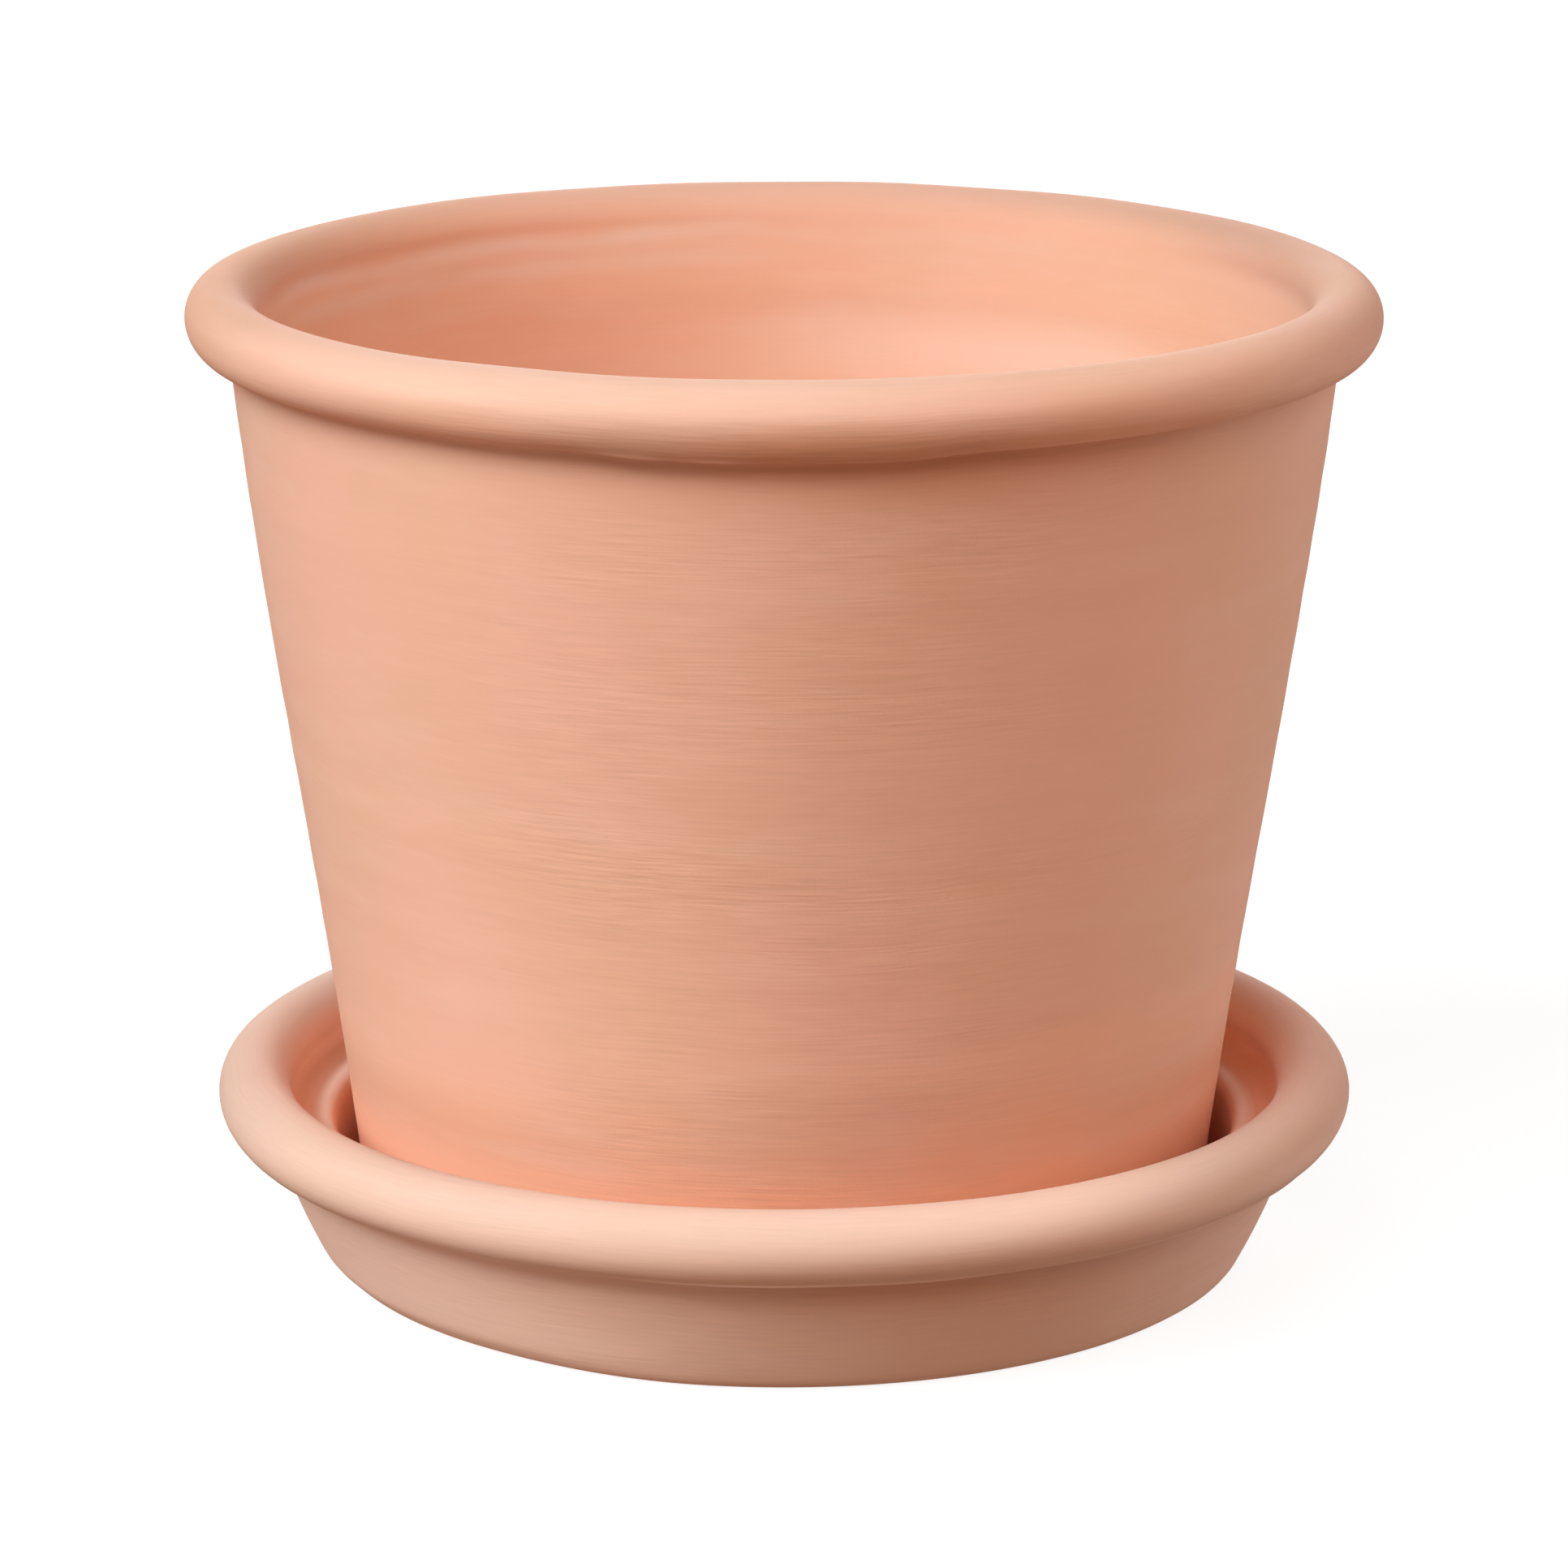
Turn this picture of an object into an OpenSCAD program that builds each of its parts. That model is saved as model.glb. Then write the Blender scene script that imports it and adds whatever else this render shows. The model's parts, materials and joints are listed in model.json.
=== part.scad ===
// Terracotta plant pot with a rolled rim, standing in its own rolled-rim saucer.
// The origin is on the ground, under the centre of the saucer. +Z points up out of the pot.
// Every outline is half of a section, drawn as [radius, height], and turned once round the Z axis.

/* [Pot] */
// Outer diameter over the rolled rim
pot_d = 180; // [176:1:200]
// Height of the pot alone, from the foot to the top of the rim
pot_h = 145.4; // [110:0.2:180]
// Outer diameter of the wall at the foot
pot_foot_d = 129.4; // [116:0.2:131]
// Thickness of the wall just under the rim
pot_neck_t = 6.2; // [5:0.1:7]
// Thickness of the wall just above the floor
pot_heel_t = 7.4; // [6:0.1:9]
// Thickness of the floor at the drainage hole
pot_floor_t = 8; // [6:0.5:12]
// Diameter of the round drainage hole in the floor
drain_d = 20; // [12:1:30]

/* [Pot rim] */
// Diameter of the clay roll that makes the rim
pot_roll_d = 10.8; // [9:0.1:12]
// How far the roll stands out from the wall
pot_roll_out = 6; // [5:0.1:7]
// Depth of the sloping shoulder inside the rim, below the middle of the roll
pot_shoulder_h = 3.4; // [2.5:0.1:5]

/* [Pot wall curve] */
// How far the whole wall bulges out from a straight cone
pot_belly = 0.35; // [0:0.05:1.5]
// How far the wall swells high up and draws in low down
pot_sway = 0.65; // [0:0.05:1.5]
// Radius of the rounded edge under the foot
pot_foot_round = 2.4; // [1:0.1:3]
// Radius of the hollow corner between wall and floor inside
pot_corner_round = 12; // [6:1:16]
// Height of the shallow recess under the floor, inside the foot ring
pot_recess_h = 1; // [0.5:0.1:2]
// Width of the foot ring that the pot stands on
pot_foot_ring_w = 14; // [8:1:18]

/* [Saucer] */
// Outer diameter over the rolled rim
saucer_d = 175.4; // [174:0.2:184]
// Height from the ground to the top of the rim
saucer_h = 31.2; // [30:0.1:40]
// Outer diameter of the wall at the ground
saucer_foot_d = 142; // [141:0.2:146]
// Thickness of the floor that the pot stands on
saucer_floor_t = 7; // [6:0.1:9]
// Diameter of the clay roll that makes the rim
saucer_roll_d = 11; // [10:0.1:12]
// How far the roll stands out from the wall
saucer_roll_out = 6.5; // [6:0.1:7]
// How far the wall bulges out from a straight cone
saucer_belly = 0.95; // [0:0.05:1.5]
// Radius of the rounded edge at the ground
saucer_foot_round = 2.9; // [1.5:0.1:3.5]

/* [Saucer well] */
// Gap all round between the pot's foot and the side of the well
well_gap = 3.6; // [3.2:0.1:4.5]
// How far the side of the well leans out from floor to ledge
well_lean = 1.8; // [0.5:0.1:2]
// How far the cove between ledge and rim lies out from the ledge's edge
cove_w = 4.4; // [3.5:0.1:5]
// How far that cove lies above the ledge
cove_h = 2; // [1:0.1:3]
// Height of the ledge below the middle of the roll
ledge_drop = 4.1; // [3.5:0.1:5]
// Radius of the ledge's rounded inner edge
ledge_round = 1.2; // [0.8:0.1:1.5]
// Radius of the hollow corner at the floor of the well
well_corner_round = 2.6; // [1:0.1:3]
// Height of the shallow recess under the floor
saucer_recess_h = 1.2; // [0.5:0.1:2]
// Width of the foot ring that the saucer stands on
saucer_foot_ring_w = 12; // [8:1:16]

/* [Hidden] */
$fn = 180;
wall_steps = 10;
arc_steps = 6;
hidden_overlap = 1;

pot_z = saucer_floor_t;
pot_roll_r = (pot_d - pot_roll_d) / 2;
pot_roll_z = pot_z + pot_h - pot_roll_d / 2;
pot_neck_r = pot_d / 2 - pot_roll_out;
pot_floor_z = pot_z + pot_recess_h + pot_floor_t;
pot_recess_r = pot_foot_d / 2 - pot_foot_ring_w;

saucer_roll_r = (saucer_d - saucer_roll_d) / 2;
saucer_roll_z = saucer_h - saucer_roll_d / 2;
saucer_neck_r = saucer_d / 2 - saucer_roll_out;
saucer_recess_r = saucer_foot_d / 2 - saucer_foot_ring_w;
well_r = pot_foot_d / 2 + well_gap;
ledge_z = saucer_roll_z - ledge_drop;
ledge_r = well_r + well_lean;

// Value a share t of the way from a to b
function mix(a, b, t) = a + (b - a) * t;

// Points along an arc of radius r round the point c, from angle a to angle b
function arc(c, r, a, b) =
    [for (i = [0:arc_steps]) let (turn = mix(a, b, i / arc_steps)) c + r * [cos(turn), sin(turn)]];

// Rounded edge at height z that runs on into a wall leaning out by the angle lean.
// r is the wall's radius where the rounding ends.
function foot_edge(r, z, round, lean) = arc([r - round * cos(lean), z + round], round, -90, -lean);

// Share of the wall's height at which such a rounded edge ends
function edge_end(round, lean, height) = round * (1 - sin(lean)) / height;

// Radii of the pot's two wall faces a share t of the way from foot to rim
function pot_wall_r(t) =
    mix(pot_foot_d / 2, pot_neck_r, t) + 4 * t * (1 - t) * (pot_belly + 2 * pot_sway * (2 * t - 1));
function pot_inner_r(t) = pot_wall_r(t) - mix(pot_heel_t, pot_neck_t, t);

// Radius of the saucer's outer wall a share t of the way from the ground to the middle of its roll
function saucer_wall_r(t) = mix(saucer_foot_d / 2, saucer_neck_r, t) + 4 * saucer_belly * t * (1 - t);

// Flat underside from the edge of the foot inwards, with its shallow recess
function underside(z, recess_r, recess_h) =
    [[0, z + recess_h], [recess_r, z + recess_h], [recess_r + 2 * recess_h, z]];

// Clay roll of a rim, as a full circle in section
module roll(r, z, d) {
    translate([r, z]) circle(d = d);
}

// Half section of the pot's wall and floor, up to the middle of its roll
module pot_section() {
    height = pot_roll_z - pot_z;
    lean = atan((pot_neck_r - pot_foot_d / 2) / height);
    foot_end = edge_end(pot_foot_round, lean, height);
    shoulder_end = 1 - pot_shoulder_h / height;
    corner_end = (pot_floor_z - pot_z + pot_corner_round) / height;
    corner = [pot_inner_r(corner_end) - pot_corner_round, pot_floor_z + pot_corner_round];
    outer = [for (i = [1:wall_steps]) let (t = mix(foot_end, 1, i / wall_steps))
        [pot_wall_r(t), mix(pot_z, pot_roll_z, t)]];
    inner = [for (i = [0:wall_steps - 1]) let (t = mix(shoulder_end, corner_end, i / wall_steps))
        [pot_inner_r(t), mix(pot_z, pot_roll_z, t)]];
    shoulder_top = [pot_d / 2 - pot_roll_d + hidden_overlap, pot_roll_z + hidden_overlap];
    polygon(concat(
        underside(pot_z, pot_recess_r, pot_recess_h),
        foot_edge(pot_wall_r(foot_end), pot_z, pot_foot_round, lean),
        outer,
        [shoulder_top],
        inner,
        arc(corner, pot_corner_round, 0, -90),
        [[0, pot_floor_z]]
    ));
}

// Half section of the saucer's wall and floor, with its well and ledge
module saucer_section() {
    lean = atan((saucer_neck_r - saucer_foot_d / 2 + 4 * saucer_belly) / saucer_roll_z);
    foot_end = edge_end(saucer_foot_round, lean, saucer_roll_z);
    outer = [for (i = [1:wall_steps]) let (t = mix(foot_end, 1, i / wall_steps))
        [saucer_wall_r(t), saucer_roll_z * t]];
    cove_top = [saucer_d / 2 - saucer_roll_d + hidden_overlap, saucer_roll_z];
    ledge_edge = [ledge_r + ledge_round, ledge_z - ledge_round];
    well_corner = [well_r - well_corner_round, saucer_floor_t + well_corner_round];
    polygon(concat(
        underside(0, saucer_recess_r, saucer_recess_h),
        foot_edge(saucer_wall_r(foot_end), 0, saucer_foot_round, lean),
        outer,
        [cove_top, [ledge_r + cove_w, ledge_z + cove_h]],
        arc(ledge_edge, ledge_round, 90, 180),
        arc(well_corner, well_corner_round, 0, -90),
        [[0, saucer_floor_t]]
    ));
}

// The pot: a tapered clay wall with a rolled rim and a floor with one drainage hole
module pot() {
    color("#D8967C")
        difference() {
            rotate_extrude() {
                union() {
                    pot_section();
                    roll(pot_roll_r, pot_roll_z, pot_roll_d);
                }
            }
            translate([0, 0, pot_z])
                cylinder(d = drain_d, h = pot_floor_z - pot_z + hidden_overlap);
        }
}

// The saucer: a shallow dish with a rolled rim and a ledge round its well
module saucer() {
    color("#E2AE9A")
        rotate_extrude() {
            union() {
                saucer_section();
                roll(saucer_roll_r, saucer_roll_z, saucer_roll_d);
            }
        }
}

pot();
saucer();
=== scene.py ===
"""Looks of the terracotta pot and its saucer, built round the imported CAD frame.

Each piece is turned from a half section of [radius, height] points and then made slightly uneven, as
pressed and hand-finished clay is: turning ridges, soft dents, a parting fin and squeezed-out clay.
Lengths are in metres, apart from the relief and from h, a height above the ground: these are in mm.
Headings are in degrees round the Z axis: 0 faces -Y, to the front, and +90 faces +X, to the right.
"""
import json
import math
from types import SimpleNamespace

import bmesh
import bpy
import numpy as np
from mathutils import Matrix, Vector


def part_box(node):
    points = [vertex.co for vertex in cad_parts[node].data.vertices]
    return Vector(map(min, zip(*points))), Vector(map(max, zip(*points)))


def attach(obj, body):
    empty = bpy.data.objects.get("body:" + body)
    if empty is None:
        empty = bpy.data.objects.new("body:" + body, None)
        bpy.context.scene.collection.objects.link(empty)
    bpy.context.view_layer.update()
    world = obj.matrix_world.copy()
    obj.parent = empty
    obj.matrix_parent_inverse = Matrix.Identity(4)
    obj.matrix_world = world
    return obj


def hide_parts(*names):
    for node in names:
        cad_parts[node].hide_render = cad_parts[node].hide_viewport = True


MM = 0.001

# Columns round a piece, distance between the points of a drawn section, and reach of its rounded corners
COLUMNS = 288
FINE_STEP = 0.1 * MM
EDGE_SOFTNESS = 0.45 * MM

# Pot: sizes of its section that the frame doesn't state. FOOT_EDGE_END is the angle, in degrees, at which
# the foot's rounding ends.
POT_FOOT_R = 64.7 * MM
POT_NECK_R = 84.0 * MM
POT_BELLY = 0.36 * MM
POT_SWAY = 0.654 * MM
POT_NECK_T = 6.2 * MM
POT_HEEL_T = 7.4 * MM
POT_FLOOR_T = 8 * MM
POT_RECESS_H = 1 * MM
POT_FOOT_RING_W = 14 * MM
POT_FOOT_ROUND = 2.4 * MM
POT_FOOT_EDGE_END = -8
POT_CORNER_ROUND = 12 * MM
DRAIN_EDGE = 1.2 * MM

# Shoulder inside the pot's rim: where it begins, how far above the roll's middle it ends, and how far
# below that middle the points of the inner wall begin
SHOULDER_LOW_Z = 134 * MM
SHOULDER_END = 0.5 * MM
INNER_WALL_START = 0.3 * MM

# Saucer: the same
SAUCER_FOOT_R = 71.0 * MM
SAUCER_NECK_R = 81.2 * MM
SAUCER_BELLY = 0.95 * MM
SAUCER_FLOOR_T = 7 * MM
SAUCER_RECESS_H = 1.2 * MM
SAUCER_FOOT_RING_W = 12 * MM
SAUCER_FOOT_ROUND = 2.9 * MM
SAUCER_FOOT_INSET = 1.75 * MM
SAUCER_FOOT_EDGE_END = -28
SAUCER_WALL_LOW_Z = 1.8 * MM
WELL_R = 68.3 * MM
WELL_CORNER_ROUND = 2.6 * MM

# Rolls: half width and half height, the arc that is seen, and how far under the roll's middle the outer
# wall stops, as a share of its half height
POT_ROLL = (5.32 * MM, 5.45 * MM)
POT_ROLL_ARC = (-98, 178)
POT_WALL_STOP = 0.99
SAUCER_ROLL = (5.64 * MM, 5.4 * MM)
SAUCER_ROLL_ARC = (-111, 186)
SAUCER_WALL_STOP = 0.93

# The hollow inside the saucer's roll and the low ledge round its well, in mm from outside in
HOLLOW_AND_LEDGE = (
    (76.0, 23.8),
    (75.4, 22.5),
    (74.6, 21.6),
    (73.7, 21.2),
    (72.7, 21.4),
    (71.7, 21.75),
    (70.8, 21.7),
    (70.1, 21.2),
    (69.6, 20.3),
)
LEDGE_R = 71.6 * MM

# Spacing of the rows that the pieces are turned from
POT_ROWS = {"wall": 1.7 * MM, "roll": 0.55 * MM, "smears": 0.25 * MM, "base": 2.6 * MM}
SAUCER_ROWS = {"wall": 0.9 * MM, "floor": 3.2 * MM, "fin": 0.14 * MM}

# Parting fin on the saucer's roll: its angle below the roll's middle, height and half width, half width of
# the band of close rows round it, and how far from the roll's middle a row may lie to be in that band
FIN_ANGLE = -65
FIN_H_MM = 0.42
FIN_HALF_W = 0.28 * MM
FIN_ROWS_HALF_W = 2.2 * FIN_HALF_W
FIN_ROWS_REACH = 6.2 * MM

# Clay pressed out under the front of the pot's roll: heading, half width in degrees, h, half height
SMEARS = (
    (-14.0, 3.2, 142.2, 0.4),
    (-6.5, 2.6, 142.0, 0.35),
)

# Radius from which the pot's outer face counts as the side of its roll, and the same for the saucer's foot
POT_ROLL_SIDE_R = 81 * MM
SAUCER_FOOT_SIDE_R = 68 * MM

# Soft dents: seed, longest and shortest wave. Turning ridges: seed, and the two ends of their pitch.
POT_DENTS = (11, 90 * MM, 30 * MM)
POT_RIDGES = (5, (6 * MM, 22 * MM))
POT_BLOTCHES = (31, 60 * MM, 16 * MM)
SAUCER_DENTS = (23, 80 * MM, 25 * MM)
SAUCER_RIDGES = (7, (5 * MM, 15 * MM))
SAUCER_BLOTCHES = (37, 60 * MM, 16 * MM)

# Camera
CAMERA_LENS_MM = 144.5
CAMERA_SENSOR_MM = 36
CAMERA_DISTANCE = 0.9677
CAMERA_TARGET_Z = 0.0728
CAMERA_PITCH = math.radians(14.72)

# Clay colours, linear, and the share of chalky patches
# The warm colour also stands for painted shade and painted bounce light, and the pale one for painted
# highlight and light
POT_CLAY = {
    "pink": (0.735, 0.372, 0.272),
    "tan": (0.712, 0.372, 0.256),
    "pale": (0.76, 0.455, 0.355),
    "warm": (0.80, 0.355, 0.208),
    "chalk": 0.25,
}
SAUCER_CLAY = {
    "pink": (0.695, 0.411, 0.323),
    "tan": (0.683, 0.407, 0.310),
    "pale": (0.72, 0.462, 0.378),
    "warm": (0.71, 0.285, 0.165),
    "chalk": 0.3,
}

# Noise in the clay: width of a blob round the piece, its height along the section, a shift that makes the
# layers differ, detail and roughness. WAVER is how far the layers wander off the section's lines.
LAYERS = {
    "fine": (9 * MM, 0.34 * MM, 0.0, 1.0, 0.5),
    "streaks": (28 * MM, 1.2 * MM, 7.0, 2.0, 0.5),
    "bands": (120 * MM, 7 * MM, 3.0, 2.0, 0.5),
    "mottle": (30 * MM, 34 * MM, 11.0, 2.0, 0.5),
    "chalk": (38 * MM, 9 * MM, 19.0, 3.0, 0.6),
    "patches": (70 * MM, 16 * MM, 29.0, 1.0, 0.5),
}
GRAIN_SIZE = 0.5 * MM
WAVER_LENGTH = 45 * MM
WAVER = 2 * MM

# How much each layer changes the clay's lightness, its roughness and its height
LEVEL_SHARES = {"fine": 0.18, "streaks": 0.04, "bands": 0.05, "grain": 0.02, "mottle": 0.03}
ROUGH_SHARES = {"streaks": 0.12, "grain": 0.10}
BUMP_HEIGHTS = {"fine": 0.024 * MM, "streaks": 0.022 * MM, "grain": 0.012 * MM}
ROUGHNESS = 0.86
SPECULAR = 0.15

# Tints of the lights, in red, green and blue
TINTS = {
    "white": (1, 1, 1),
    "cool": (0.74, 0.95, 1),
    "cream": (1, 0.9, 0.85),
    "warm": (1, 0.6, 0.35),
}

# Lights: name, azimuth, elevation, strength and tint. The floor's glow comes up from below.
SUN_ANGLE = math.radians(30)
SUNS = (
    ("key", -60, 40, 0.98, "cool"),
    ("front", -30, 40, 0.42, "cool"),
    ("warm_front", 0, 40, 0.3, "warm"),
    ("back", 180, 15, 0.56, "white"),
    ("right_low", 90, 15, 0.29, "cream"),
    ("right_high", 90, 40, 0.25, "cool"),
    ("bounce_left", -60, -20, 0.2, "cream"),
    ("bounce_back", 120, -20, 0.25, "cool"),
)
FLOOR_GLOW = (0.31, "warm")

# Stage: the dome's radius, and how much each paper glows and reflects
STAGE_R = 3
FLOOR_PAPER = (0.86, 0.2)
DOME_PAPER = (1.0, 0.0)

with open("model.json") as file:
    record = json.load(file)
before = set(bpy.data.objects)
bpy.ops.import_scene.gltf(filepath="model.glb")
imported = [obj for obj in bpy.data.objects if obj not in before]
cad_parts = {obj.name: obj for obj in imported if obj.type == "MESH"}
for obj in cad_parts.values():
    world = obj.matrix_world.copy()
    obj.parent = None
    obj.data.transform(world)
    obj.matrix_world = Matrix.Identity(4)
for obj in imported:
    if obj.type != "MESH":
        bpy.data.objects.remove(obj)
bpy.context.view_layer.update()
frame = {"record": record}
pot_low, pot_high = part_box("pot")
saucer_low, saucer_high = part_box("saucer")
POT_R = (pot_high.x - pot_low.x) / 2
SAUCER_R = (saucer_high.x - saucer_low.x) / 2
POT_ROLL_C = (POT_R - POT_ROLL[0], pot_high.z - POT_ROLL[1])
SAUCER_ROLL_C = (SAUCER_R - SAUCER_ROLL[0], saucer_high.z - SAUCER_ROLL[1])
DRAIN_R = MM * next(m for m in frame["record"]["mounts"] if m["name"] == "drain_hole")["dims"]["r_mm"]
FOOT_H = pot_low.z / MM


# ---------------------------------------------------------------- curves and masks

def mix(a, b, t):
    """Value a share t of the way from a to b."""
    return a + (b - a) * t


def rise(x, low, high):
    """0 below low, 1 above high, and a smooth rise between them."""
    t = np.clip((x - low) / (high - low), 0, 1)
    return t * t * (3 - 2 * t)


def fall(x, low, high):
    """1 below low, 0 above high, and a smooth fall between them."""
    return 1 - rise(x, low, high)


def hump(x, middle, half_width):
    """Smooth bump of height 1 round middle, nearly 0 beyond twice half_width."""
    return np.exp(-((x - middle) / half_width) ** 2)


def degrees_from(turn, heading):
    """How far each angle of the lathe lies from a heading, in degrees from -180 to 180."""
    return (np.degrees(turn) + 90 - heading + 180) % 360 - 180


def window(turn, start, end, soft):
    """1 between two headings and 0 outside, with soft ends."""
    half = (end - start) / 2
    return fall(np.abs(degrees_from(turn, (start + end) / 2)), half - soft / 2, half + soft / 2)


# ---------------------------------------------------------------- half sections

def arc(centre, radii, start, end):
    """Points along an ellipse's arc, from angle start to angle end, in degrees."""
    count = max(3, int(abs(math.radians(end - start)) * max(radii) / FINE_STEP))
    turn = np.radians(np.linspace(start, end, count))
    return np.stack([centre[0] + radii[0] * np.cos(turn), centre[1] + radii[1] * np.sin(turn)], 1)


def round_arc(centre, radius, start, end):
    """Points along a circle's arc."""
    return arc(centre, (radius, radius), start, end)


def pot_wall_r(z):
    """Outer radius of the pot's wall at height z."""
    t = (z - pot_low.z) / (POT_ROLL_C[1] - pot_low.z)
    curve = 4 * t * (1 - t) * (POT_BELLY + 2 * POT_SWAY * (2 * t - 1))
    return mix(POT_FOOT_R, POT_NECK_R, t) + curve


def pot_inner_r(z):
    """Inner radius of the pot's wall at height z."""
    t = (z - pot_low.z) / (POT_ROLL_C[1] - pot_low.z)
    return pot_wall_r(z) - mix(POT_HEEL_T, POT_NECK_T, t)


def saucer_wall_r(z):
    """Outer radius of the saucer's wall at height z."""
    t = z / SAUCER_ROLL_C[1]
    return mix(SAUCER_FOOT_R, SAUCER_NECK_R, t) + 4 * SAUCER_BELLY * t * (1 - t)


def pot_shoulder_r(z):
    """Radius of the soft shoulder that carries the inner wall out to the inside of the roll."""
    inside = POT_ROLL_C[0] - POT_ROLL[0]
    step = inside - pot_inner_r(POT_ROLL_C[1])
    return pot_inner_r(z) + step * rise(z, SHOULDER_LOW_Z, POT_ROLL_C[1] + SHOULDER_END)


def wall_points(radius_at, start, end):
    """Points up or down a wall whose radius is a function of height."""
    z = np.linspace(start, end, max(3, int(abs(end - start) / FINE_STEP)))
    return np.stack([radius_at(z), z], 1)


def pot_section():
    """Closed half section of the pot, from the drainage hole's lower edge out, up, over and back in."""
    foot_z = pot_low.z
    base_z = foot_z + POT_RECESS_H
    floor_z = base_z + POT_FLOOR_T
    corner_z = floor_z + POT_CORNER_ROUND
    recess_r = POT_FOOT_R - POT_FOOT_RING_W
    edge_z = foot_z + POT_FOOT_ROUND
    edge_r = pot_wall_r(edge_z) - POT_FOOT_ROUND
    drain_r = DRAIN_R + DRAIN_EDGE
    return np.concatenate([
        [(drain_r, base_z), (recess_r, base_z), (recess_r + 2 * POT_RECESS_H, foot_z)],
        round_arc((edge_r, edge_z), POT_FOOT_ROUND, -90, POT_FOOT_EDGE_END),
        wall_points(pot_wall_r, edge_z, POT_ROLL_C[1] - POT_ROLL[1] * POT_WALL_STOP),
        arc(POT_ROLL_C, POT_ROLL, *POT_ROLL_ARC),
        wall_points(pot_shoulder_r, POT_ROLL_C[1] - INNER_WALL_START, corner_z),
        round_arc((pot_inner_r(corner_z) - POT_CORNER_ROUND, corner_z), POT_CORNER_ROUND, 0, -90),
        round_arc((drain_r, floor_z - DRAIN_EDGE), DRAIN_EDGE, 90, 180),
        round_arc((drain_r, base_z + DRAIN_EDGE), DRAIN_EDGE, 180, 270),
    ])


def saucer_section():
    """Half section of the saucer, from the middle of its underside out, up, over and back in."""
    recess_r = SAUCER_FOOT_R - SAUCER_FOOT_RING_W
    edge = (SAUCER_FOOT_R - SAUCER_FOOT_INSET, SAUCER_FOOT_ROUND)
    corner = (WELL_R - WELL_CORNER_ROUND, SAUCER_FLOOR_T + WELL_CORNER_ROUND)
    wall_end = SAUCER_ROLL_C[1] - SAUCER_ROLL[1] * SAUCER_WALL_STOP
    return np.concatenate([
        [(0, SAUCER_RECESS_H), (recess_r, SAUCER_RECESS_H), (recess_r + 2 * SAUCER_RECESS_H, 0)],
        round_arc(edge, SAUCER_FOOT_ROUND, -90, SAUCER_FOOT_EDGE_END),
        wall_points(saucer_wall_r, SAUCER_WALL_LOW_Z, wall_end),
        arc(SAUCER_ROLL_C, SAUCER_ROLL, *SAUCER_ROLL_ARC),
        np.array(HOLLOW_AND_LEDGE) * MM,
        round_arc(corner, WELL_CORNER_ROUND, 0, -90),
        [(0, SAUCER_FLOOR_T)],
    ])


def lengths(section):
    """Distance of each point along the section."""
    steps = np.hypot(*np.diff(section, axis=0).T)
    return np.concatenate([[0], np.cumsum(steps)])


def at_lengths(section, wanted):
    """Points of the section at these distances along it."""
    s = lengths(section)
    return np.stack([np.interp(wanted, s, section[:, 0]), np.interp(wanted, s, section[:, 1])], 1)


def softened(section, reach, closed):
    """The section with its corners rounded off over about this reach."""
    total = lengths(section)[-1]
    even = at_lengths(section, np.linspace(0, total, int(total / FINE_STEP)))
    pad = int(3 * reach / FINE_STEP)
    kernel = np.exp(-0.5 * (np.arange(-pad, pad + 1) * FINE_STEP / reach) ** 2)
    kernel /= kernel.sum()
    if closed:
        padded = np.concatenate([even[-pad:], even, even[:pad]])
    else:
        mirrored = np.array([-1, 1])
        padded = np.concatenate([even[pad:0:-1] * mirrored, even, even[-2:-pad - 2:-1] * mirrored])
    return np.stack([np.convolve(padded[:, i], kernel, "valid") for i in (0, 1)], 1)


def rows_of(section, spacing_at):
    """The section resampled so that neighbouring rows lie spacing_at(points) apart."""
    s = lengths(section)
    density = 1 / spacing_at(section)
    count = np.concatenate([[0], np.cumsum((density[1:] + density[:-1]) / 2 * np.diff(s))])
    rows = int(round(count[-1]))
    return at_lengths(section, np.interp(np.linspace(0, count[-1], rows + 1), count, s))


def pot_spacing(section):
    """Row spacing of the pot: finest across the smears, wider on the roll and walls, widest underneath."""
    r, z = section[:, 0], section[:, 1]
    on_roll = rise(z, POT_ROLL_C[1] - 12 * MM, POT_ROLL_C[1] - 7 * MM)
    on_smears = hump(z, 142.2 * MM, 1.2 * MM) * rise(r, 84 * MM, 85 * MM)
    below = fall(z, pot_low.z, pot_low.z + 12 * MM)
    spacing = mix(POT_ROWS["wall"], POT_ROWS["roll"], on_roll)
    spacing = mix(spacing, POT_ROWS["smears"], on_smears)
    return mix(spacing, POT_ROWS["base"], below)


def saucer_spacing(section):
    """Row spacing of the saucer: finest across the fin, wide on the floor and underneath."""
    on_floor = fall(section[:, 0], WELL_R - 8 * MM, WELL_R - 2 * MM)
    spacing = mix(SAUCER_ROWS["wall"], SAUCER_ROWS["floor"], on_floor)
    from_roll = np.hypot(section[:, 0] - SAUCER_ROLL_C[0], section[:, 1] - SAUCER_ROLL_C[1])
    near_fin = hump(fin_distance(section)[:, 0], 0, FIN_ROWS_HALF_W) * (from_roll < FIN_ROWS_REACH)
    return mix(spacing, SAUCER_ROWS["fin"], np.clip(1.3 * near_fin, 0, 1))


# ---------------------------------------------------------------- turning a mesh

def soft_dents(points, seed, longest, shortest, waves=28):
    """Smooth random relief of about unit height, made of plane waves between two wavelengths."""
    rng = np.random.RandomState(seed)
    total = np.zeros(points.shape[:-1])
    for _ in range(waves):
        way = rng.normal(size=3)
        way /= np.linalg.norm(way)
        length = mix(shortest, longest, rng.rand())
        total += np.sin(points @ way * (2 * math.pi / length) + rng.uniform(0, 2 * math.pi))
    return total / math.sqrt(waves / 2)


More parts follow.
